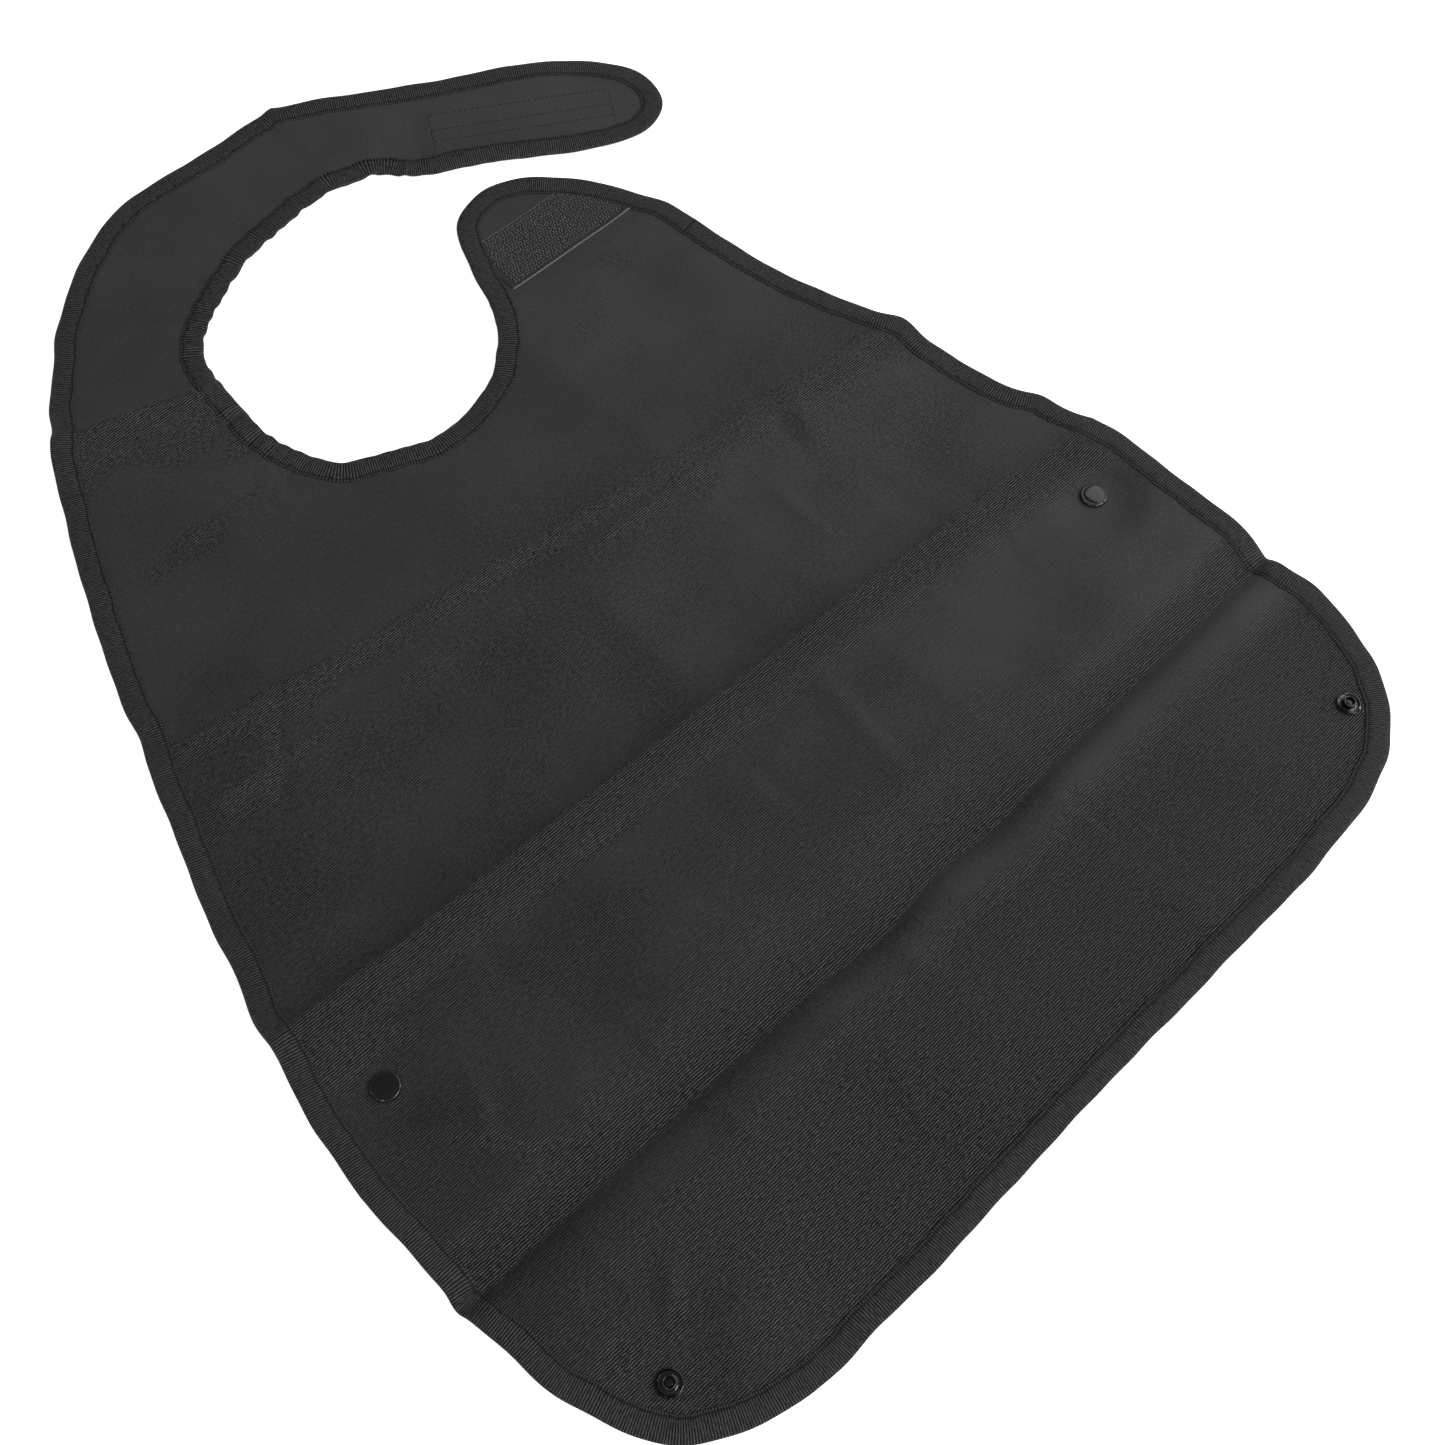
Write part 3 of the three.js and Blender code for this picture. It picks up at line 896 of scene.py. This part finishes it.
# ---- the binding tape ----
# Front half of the tape's section, from its inner edge to the fold at the cape's edge, as distance
# in from the edge and height over the middle of the cloth. The dip at the stitch line is its seam.
TAPE_FACE = [
    (11.0, 0.24), (10.95, 0.6), (10.6, 0.74), (9.95, 0.68), (9.6, 0.52), (9.25, 0.68), (8.4, 0.86),
    (6.2, 0.95), (3.4, 0.93), (1.6, 0.84), (0.6, 0.62), (0.12, 0.33),
]
TAPE_LINING = [(6.0, 0.25), (1.5, 0.27)]
TAPE_BACK_SHARE = 0.85
LAP_PLACE = (233.5, -87.9)
LAP_LENGTH = 15.0
LAP_RISE = 0.4
LAP_SLANT = 0.55
SEAM_HEIGHT = 0.62
STITCH_SINK = (-0.16, 0.0, 0.03, 0.0, -0.16)  # along a stitch, over the seam's height
STITCH_SLANT = 0.12
ALONG_STITCH = np.linspace(-0.5, 0.5, len(STITCH_SINK)) * STITCH_LENGTH
TAPE_WOBBLE = 0.22
TAPE_UNEVEN = 0.07


def tape_section():
    face = np.array(TAPE_FACE)
    lining = np.array(TAPE_LINING)
    down = np.array([1, -1])
    back = face[::-1] * down
    back[:, 1] *= TAPE_BACK_SHARE
    return np.vstack([face, [(0, 0)], back, lining * down, [(0.8, 0)], lining[::-1]])


def lap_rise(arc, inset):
    """Extra height where the tape's end laps over its start, with a slanted cut end."""
    start = nearest_arc(EDGE, LAP_PLACE)
    cut = smooth((arc - start - LAP_SLANT * (inset - 5)) / 0.9)
    return LAP_RISE * cut * smooth((start + LAP_LENGTH - arc) / 2.5)


def tape_height(arc, inset, height):
    """The section's height, thickened at the lap and uneven along the tape."""
    uneven = 1 + TAPE_UNEVEN * wander(arc, (5.3, 12.1, 31), 0.4)
    return height * uneven + np.sign(height) * (abs(height) > 0.3) * lap_rise(arc, inset)


def make_tape(name, start, end):
    """A length of the binding, from one place along the edge to another."""
    arcs = np.linspace(start, end, int(round((end - start) / EDGE_STEP)) + 1)
    section = tape_section()
    arc, inset = np.meshgrid(arcs, section[:, 0], indexing="ij")
    wobble = TAPE_WOBBLE * wander(arc, (17, 29, 7.3), 3.1) * smooth((inset - 6) / 4)
    plan = edge_point(arc, inset + wobble)
    place = cloth_height(plan[..., 0], plan[..., 1], arc % EDGE_LENGTH, inset)
    up = tape_height(arc, inset, np.broadcast_to(section[:, 1], arc.shape))
    points = np.dstack([plan, place + up]).reshape(-1, 3)
    faces = outward_faces(points, sweep_faces(len(arcs), len(section)))
    uv = np.column_stack([arc.ravel(), inset.ravel()])
    return make_piece(name, points, faces, TAPE, uv, flat_faces=2)


def stitches(plan, top, under):
    """Front and back stitches of a seam. plan holds each stitch's plan points, as (stitch, point,
    xy)."""
    height = surface(plan.reshape(-1, 2)).reshape(plan.shape[:2])
    sunk = np.array(STITCH_SINK)
    front = np.dstack([plan, height + top + sunk])
    back = np.dstack([plan, height - under - sunk])
    return tubes(np.concatenate([front, back]), THREAD_R, 5)


def seam_along_edge(name, start, end):
    """The binding's topstitching."""
    centres = np.arange(start + STITCH_PITCH / 2, end - STITCH_PITCH / 2, STITCH_PITCH)
    arc = centres[:, None] + ALONG_STITCH
    slant = np.linspace(-STITCH_SLANT, STITCH_SLANT, len(ALONG_STITCH))
    plan = edge_point(arc, np.broadcast_to(STITCH_INSET + slant, arc.shape))
    points, faces = stitches(plan, SEAM_HEIGHT, SEAM_HEIGHT * TAPE_BACK_SHARE)
    return make_piece(name, points, faces, THREAD)


def seam_along_lines(name, lines, top, under):
    """Straight seams between pairs of plan points, left out where the binding covers them."""
    rows = []
    for start, end in lines:
        start, end = np.array(start, float), np.array(end, float)
        length = norm(end - start)
        for centre in np.arange(STITCH_PITCH / 2, length - STITCH_PITCH / 3, STITCH_PITCH):
            share = (centre + ALONG_STITCH) / length
            rows.append(start + share[:, None] * (end - start))
    rows = np.array(rows)
    _, inset = arc_and_inset(rows[:, len(ALONG_STITCH) // 2])
    points, faces = stitches(rows[inset > TAPE_WIDTH], top, under)
    return make_piece(name, points, faces, THREAD)


def rectangle_sides(left, bottom, right, top):
    corners = [(left, bottom), (right, bottom), (right, top), (left, top)]
    return list(zip(corners, corners[1:] + corners[:1]))


def filaments(plan, base, shape, turn, lean, size):
    """Bent filaments that stand on plan points, as (filament, point, xyz). shape holds the distances
    forwards and upwards along one of them."""
    shape = np.array(shape)
    forwards = shape[:, 0] * lean[:, None]
    return np.dstack([
        plan[:, :1] + forwards * np.cos(turn)[:, None],
        plan[:, 1:] + forwards * np.sin(turn)[:, None],
        base[:, None] + shape[:, 1] * size[:, None],
    ])


def make_edges():
    """The binding and its seam, in lengths that end at the splits of the cloth."""
    at = {name: (a * EDGE_STEP, b * EDGE_STEP) for name, (a, b) in SPLIT_INDICES.items()}
    left_outer, left_neck = at["left"]
    strap_inner, strap_outer = at["strap"]
    tab_neck, tab_outer = at["tab"]
    lengths = {
        "bib": (left_outer, tab_outer + EDGE_LENGTH),
        "tab": (tab_outer, tab_neck),
        "neck": (tab_neck, left_neck),
        "strap_inner": (left_neck, strap_inner),
        "strap_end": (strap_inner, strap_outer),
        "strap_outer": (strap_outer, left_outer),
    }
    return {
        name: (make_tape("binding_" + name, *ends), seam_along_edge("seam_" + name, *ends))
        for name, ends in lengths.items()
    }


# ---- hook tape on the tab ----
HOOK_BASE_TOP = 0.55
HOOK_SELVAGE = 2.2
HOOK_TUCK = 2.2  # how far the hook tape reaches under the binding
HOOK_SEAM_INSET = 0.9
HOOK_BASE_ROWS = 36


def slab(grid, low, high, uv_of):
    """A closed slab on square cells, cut off under the binding. grid holds its plan points, as (row,
    column, xy)."""
    rows, columns, _ = grid.shape
    flat = grid.reshape(-1, 2)
    height = surface(flat)
    _, inset = arc_and_inset(flat)
    shown = (inset > TAPE_WIDTH - HOOK_TUCK).reshape(rows, columns)
    cells = shown[:-1, :-1] & shown[1:, :-1] & shown[:-1, 1:] & shown[1:, 1:]
    index = np.arange(rows * columns).reshape(rows, columns)
    r, c = np.nonzero(cells)
    quads = np.column_stack([index[r, c], index[r, c + 1], index[r + 1, c + 1], index[r + 1, c]])
    used, local = np.unique(quads, return_inverse=True)
    local = local.reshape(-1, 4)
    plan = flat[used]
    if doubled_areas(plan, local[:1, [0, 1, 3]])[0] < 0:
        local = local[:, ::-1]
    top = np.column_stack([plan, height[used] + high])
    bottom = np.column_stack([plan, height[used] + low])
    faces, rim = sheet_faces(local, len(used))
    uv = uv_of.reshape(-1, 2)[used]
    return np.vstack([top, bottom]), faces, np.vstack([uv, uv]), rim


def make_hook_tape():
    low, high = (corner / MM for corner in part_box("hook_patch"))
    x = np.arange(low.x - 3, high.x + 4, 1.0)
    y = np.linspace(low.y, high.y, HOOK_BASE_ROWS)
    grid = np.stack(np.meshgrid(x, y), axis=2)
    from_side = np.minimum(grid[..., 1] - low.y, high.y - grid[..., 1]) / HOOK_SELVAGE
    uv = np.stack([grid[..., 0], from_side], axis=2)
    points, faces, uv, rim = slab(grid, CLOTH_HALF, HOOK_BASE_TOP, uv)
    base = make_piece("hook_tape_base", points, faces, HOOK_BASE, uv, flat_faces=rim)
    hooks = make_hooks(low, high)
    inside = HOOK_SEAM_INSET
    lines = rectangle_sides(low.x + inside, low.y + inside, high.x - inside, high.y - inside)
    seam = seam_along_lines("hook_tape_seam", lines, HOOK_BASE_TOP + 0.1, CLOTH_HALF + 0.1)
    return base, hooks, seam


HOOK_SPACING = (1.75, 1.5)
HOOK_SHAPE = [(0, 0), (0.02, 0.62), (0.2, 1.05), (0.5, 1.12), (0.68, 0.82)]  # forwards, up
HOOK_R = 0.15
HOOK_JITTER = 0.28
HOOK_CLEARANCE = 0.9  # from the binding
ROOT_DEPTH = 0.05  # of a filament in its base


def make_hooks(low, high):
    """Bent filaments in rows, leaning alternately to either side."""
    x = np.arange(low.x + 1, high.x - 1, HOOK_SPACING[0])
    y = np.arange(low.y + HOOK_SELVAGE + 0.5, high.y - HOOK_SELVAGE - 0.3, HOOK_SPACING[1])
    grid = np.stack(np.meshgrid(x, y), axis=2)
    facing = np.where(np.arange(len(y)) % 2, 1.0, -1.0)[:, None] * np.ones(len(x))
    plan = grid.reshape(-1, 2) + RANDOM.uniform(-HOOK_JITTER, HOOK_JITTER, (grid.size // 2, 2))
    facing = facing.ravel()
    _, inset = arc_and_inset(plan)
    keep = inset > TAPE_WIDTH + HOOK_CLEARANCE
    plan, facing = plan[keep], facing[keep]
    turn = RANDOM.uniform(-0.5, 0.5, len(plan))
    size = RANDOM.uniform(0.85, 1.1, len(plan))
    base = surface(plan) + HOOK_BASE_TOP - ROOT_DEPTH
    points, faces = tubes(filaments(plan, base, HOOK_SHAPE, turn, facing * size, size), HOOK_R, 5)
    return make_piece("hook_tape_hooks", points, faces, HOOK)


# ---- loop strip under the strap's end ----
STRIP_BASE_LOW = -0.75
STRIP_CELL = 1.2
PILE_SHAPE = [(-0.3, 0.0), (-0.36, -0.4), (0.0, -0.68), (0.36, -0.4), (0.3, 0.0)]  # sideways, down
PILE_SPACING = 1.25
PILE_R = 0.13
PILE_JITTER = 0.35
PILE_CLEARANCE = 0.5
STRIP_ROWS = 27
STRIP_SEAM_INSET = 1.5


def strip_plan(u, v):
    """Plan points from distances along and across the loop strip."""
    x = STRIP_X + u * STRIP_COS - v * STRIP_SIN
    return np.stack([x, STRIP_Y + u * STRIP_SIN + v * STRIP_COS], axis=-1)


def make_loop_strip():
    half_length, half_width = STRIP_LENGTH / 2, STRIP_WIDTH / 2
    u, v = np.meshgrid(np.arange(-half_length, half_length + 0.1, STRIP_CELL),
                       np.linspace(-half_width, half_width, STRIP_ROWS))
    points, faces, uv, rim = slab(strip_plan(u, v), STRIP_BASE_LOW, -CLOTH_HALF, np.stack([u, v], 2))
    base = make_piece("loop_strip_base", points, faces, PILE, uv, flat_faces=rim)
    pile = make_pile(half_length, half_width)
    half_u = half_length - STRIP_SEAM_INSET
    lines = []
    for half_v in (half_width - STRIP_SEAM_INSET, half_width / 3 - STRIP_SEAM_INSET):
        sides = rectangle_sides(-half_u, -half_v, half_u, half_v)
        lines += [(strip_plan(*start), strip_plan(*end)) for start, end in sides]
    seam = seam_along_lines("loop_strip_seam", lines, CLOTH_HALF - 0.02, 0.8)
    return base, pile, seam


def make_pile(half_length, half_width):
    """Soft loops under the strip."""
    u, v = np.meshgrid(np.arange(1 - half_length, half_length - 1, PILE_SPACING),
                       np.arange(1 - half_width, half_width - 1, PILE_SPACING))
    count = u.size
    u = u.ravel() + RANDOM.uniform(-PILE_JITTER, PILE_JITTER, count)
    v = v.ravel() + RANDOM.uniform(-PILE_JITTER, PILE_JITTER, count)
    plan = strip_plan(u, v)
    _, inset = arc_and_inset(plan)
    plan = plan[inset > TAPE_WIDTH + PILE_CLEARANCE]
    turn = RANDOM.uniform(0, math.pi, len(plan))
    base = surface(plan) + STRIP_BASE_LOW + ROOT_DEPTH
    one = np.ones(len(plan))
    points, faces = tubes(filaments(plan, base, PILE_SHAPE, turn, one, one), PILE_R, 3)
    return make_piece("loop_strip_pile", points, faces, PILE)


# ---- press snaps ----
# Profiles as radius and height over the surface that the cape lies on, for the piece on the front.
SNAP_SIDES = 64
SHARP_ANGLE = math.radians(38)
CLOTH_TOP_AT_SNAP = SNAP_HEIGHT + CLOTH_HALF
CAP_PROFILE = [
    (0.0, 0.9), (1.3, 0.9), (1.6, 1.05), (1.7, 1.25), (1.6, 1.45), (1.1, 1.6), (1.1, CLOTH_TOP_AT_SNAP),
    (5.7, CLOTH_TOP_AT_SNAP), (6.05, 3.62), (6.18, 3.85), (6.2, 4.3), (6.13, 4.62), (5.98, 4.86),
    (5.75, 5.03), (5.5, 5.1), (5.25, 5.07), (5.1, 5.0), (4.95, 5.02), (4.6, 5.09), (3.8, 5.18),
    (2.6, 5.26), (1.3, 5.3), (0.0, 5.31),
]
BACK_CAP_PROFILE = [(r, 2 * SNAP_HEIGHT - z) for r, z in reversed(CAP_PROFILE)]
SOCKET_PROFILE = [
    (1.4, 1.9), (3.15, 1.9), (3.15, 1.3), (2.85, 1.0), (2.85, 0.4), (2.95, 0.15), (3.2, 0.0), (4.1, 0.0),
    (4.32, 0.12), (4.4, 0.4), (4.5, 1.8), (4.7, 2.05), (5.1, 2.15), (5.3, 2.3), (5.35, 2.6),
    (5.3, 2.95), (5.1, SNAP_HEIGHT - CLOTH_HALF), (1.4, SNAP_HEIGHT - CLOTH_HALF),
]
STUD_PROFILE = [
    (1.4, CLOTH_TOP_AT_SNAP), (5.1, CLOTH_TOP_AT_SNAP), (5.3, 3.65), (5.35, 4.0), (5.33, 4.3),
    (5.22, 4.5), (5.02, 4.56), (4.84, 4.44), (4.6, 4.12), (4.2, 3.95), (3.4, 3.95), (3.0, 4.15),
    (2.75, 4.7), (2.6, 5.9), (2.7, 6.3), (2.62, 6.6), (2.45, 6.76), (2.25, 6.8), (2.08, 6.72),
    (2.0, 6.5), (2.0, 4.8), (1.4, 4.7),
]


def lathe(name, profile, place, body, node):
    """A turned piece. A profile that starts away from the axis is a ring and closes on itself."""
    turn = np.arange(SNAP_SIDES) * 2 * np.pi / SNAP_SIDES
    is_ring = profile[0][0] > 0
    off_axis = [(r, z) for r, z in profile if r > 0]
    rings = len(off_axis)
    points = [(place.x + r * np.cos(a), place.y + r * np.sin(a), z) for r, z in off_axis for a in turn]
    faces = []
    for ring in range(rings if is_ring else rings - 1):
        faces += band_faces(ring * SNAP_SIDES, (ring + 1) % rings * SNAP_SIDES, SNAP_SIDES)
    if not is_ring:
        for low, z in ((0, profile[0][1]), ((rings - 1) * SNAP_SIDES, profile[-1][1])):
            centre = len(points)
            points.append((place.x, place.y, z))
            for a, b in next_to_each(SNAP_SIDES):
                faces.append((low + a, low + b, centre) if low else (b, a, centre))
    faces = outward_faces(points, faces)
    piece = make_piece(name, points, faces, SNAP)
    piece.data.set_sharp_from_angle(angle=SHARP_ANGLE)
    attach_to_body(piece, body)
    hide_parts(node)
    return piece


def make_snaps():
    for side in ("left", "right"):
        upper = SNAP_PLACES["snap_cap_" + side]
        lower = SNAP_PLACES["flap_snap_cap_" + side]
        lathe("cap_" + side, CAP_PROFILE, upper, "bib_body", "snap_cap_" + side)
        lathe("socket_" + side, SOCKET_PROFILE, upper, "bib_body", "snap_socket_" + side)
        lathe("flap_cap_" + side, BACK_CAP_PROFILE, lower, "catcher_flap", "flap_snap_cap_" + side)
        lathe("flap_stud_" + side, STUD_PROFILE, lower, "catcher_flap", "flap_snap_stud_" + side)


# ---- putting it together ----
TAPE_NODES = {
    "bib": ("bib", ["flap", "body_left", "body_right"]),
    "tab": ("tab", ["tab"]),
    "neck": (None, ["body_neck"]),
    "strap_inner": ("strap", ["strap_inner"]),
    "strap_end": ("strap_end", ["strap_end"]),
    "strap_outer": ("strap", ["strap_outer"]),
}
PANEL_NODES = {zone: [zone + "_panel"] for zone in ZONES} | {"bib": ["chest_panel", "flap_panel"]}


def attach(piece, zone, nodes):
    """Parents a piece to the bib's body when it has no zone, else bakes its transform at its zone's
    joint, and hides the CAD nodes that it stands for.
    """
    if zone is None:
        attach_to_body(piece, "bib_body")
    else:
        joint, side, _ = ZONES[zone]
        join_bodies(piece, joint, side)
    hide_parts(*nodes)


def ride_child(piece, body, nodes=()):
    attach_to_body(piece, body)
    if nodes:
        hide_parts(*nodes)


def assemble():
    cloth = make_cloth()
    edges = make_edges()
    hook_parts = make_hook_tape()
    strip_parts = make_loop_strip()
    make_snaps()
    going = {zone: [] for zone in ZONES}
    for name, (tape, seam) in edges.items():
        zone, nodes = TAPE_NODES[name]
        attach(tape, zone, [node + "_binding" for node in nodes])
        attach(seam, zone, [node + "_stitching" for node in nodes])
        going[zone or "bib"] += [tape, seam]
    for zone, (piece, _, _) in cloth.items():
        attach(piece, zone, PANEL_NODES[zone])
    for parts, zone, body, slot, node in (
        (hook_parts, "tab", "shoulder_tab", "hook_tape", "hook_patch"),
        (strip_parts, "strap_end", "strap_end", "loop_tape", "loop_strip"),
    ):
        base, fibres, seam = parts
        ride_child(base, body, [node])
        ride_child(fibres, body)
        ride_child(seam, body, [node + "_stitching"])
        going[zone] += parts


# ---- stage, light and camera ----
FLOOR_REACH = 9000.0
# How the room's light falls off: the axis of the direction, where the fall starts and ends along it,
# and the light before and after.
ROOM_FADES = [("Z", 0.45, 0.85, 0.9, 0.27), ("Y", -0.3, 0.9, 1.15, 0.3)]
# Large soft lights: place in metres, size and power.
SOFT_LIGHTS = {"key": ((2.2, -4.2, 5.2), 3.0, 217), "side": ((1.5, -0.1, 1.15), 1.5, 9)}
# Small low lights that glint on the caps' rims, in degrees round the cape.
RIM_AZIMUTHS = (-30, -95, -150, 150)
RIM_RADIUS = 1.6
RIM_HEIGHT = 1.0
RIM_SIZE = 0.16
RIM_POWER = 3.4


def make_floor():
    corners = [(-1, -1, 0), (1, -1, 0), (1, 1, 0), (-1, 1, 0)]
    floor = make_piece("floor", np.array(corners) * FLOOR_REACH, [(0, 1, 2, 3)], floor_material())


def make_light(name, place, size, power):
    """A square soft light in metres that faces the middle of the cape."""
    lamp = bpy.data.lights.new(name, "AREA")
    lamp.size = size
    lamp.energy = power
    light = new_object(name, lamp)
    light.location = place
    light.rotation_euler = (-Vector(place)).to_track_quat("-Z", "Y").to_euler()


def make_room():
    """A pale room, darker overhead and beyond the strap."""
    world = bpy.data.worlds.new("studio")
    bpy.context.scene.world = world
    world.use_nodes = True
    nodes = world.node_tree.nodes
    links = world.node_tree.links
    direction = nodes.new("ShaderNodeSeparateXYZ")
    links.new(nodes.new("ShaderNodeTexCoord").outputs["Generated"], direction.inputs[0])
    both = nodes.new("ShaderNodeMath")
    both.operation = "MULTIPLY"
    for (axis, *limits), socket in zip(ROOM_FADES, both.inputs):
        fade = nodes.new("ShaderNodeMapRange")
        for name, value in zip(("From Min", "From Max", "To Min", "To Max"), limits):
            fade.inputs[name].default_value = value
        links.new(direction.outputs[axis], fade.inputs["Value"])
        links.new(fade.outputs["Result"], socket)
    background = nodes["Background"]
    background.inputs["Color"].default_value = (1, 1, 1, 1)
    links.new(both.outputs[0], background.inputs["Strength"])


def make_studio():
    make_room()
    for name, (place, size, power) in SOFT_LIGHTS.items():
        make_light(name, place, size, power)
    for azimuth in RIM_AZIMUTHS:
        turn = math.radians(azimuth)
        place = (math.cos(turn) * RIM_RADIUS, math.sin(turn) * RIM_RADIUS, RIM_HEIGHT)
        make_light(f"rim_{azimuth:g}", place, RIM_SIZE, RIM_POWER)
    bpy.context.scene.view_settings.view_transform = "Standard"


def make_camera():
    data = bpy.data.cameras.new("camera")
    data.lens = CAMERA_LENS
    data.sensor_width = SENSOR_WIDTH
    camera = new_object("camera", data)
    tilt, turn = CAMERA_TILT, CAMERA_AZIMUTH
    away = Vector((math.sin(tilt) * math.cos(turn), math.sin(tilt) * math.sin(turn), math.cos(tilt)))
    camera.location = (Vector(CAMERA_TARGET) + away * CAMERA_DISTANCE) * MM
    level_up = Vector((
        -math.cos(tilt) * math.cos(turn), -math.cos(tilt) * math.sin(turn), math.sin(tilt),
    ))
    level_right = (-away).cross(level_up)
    cos, sin = math.cos(CAMERA_ROLL), math.sin(CAMERA_ROLL)
    right = level_right * cos + level_up * sin
    up = level_up * cos - level_right * sin
    camera.rotation_euler = Matrix((right, up, away)).transposed().to_euler()
    bpy.context.scene.camera = camera


make_camera()
make_studio()
make_floor()
assemble()
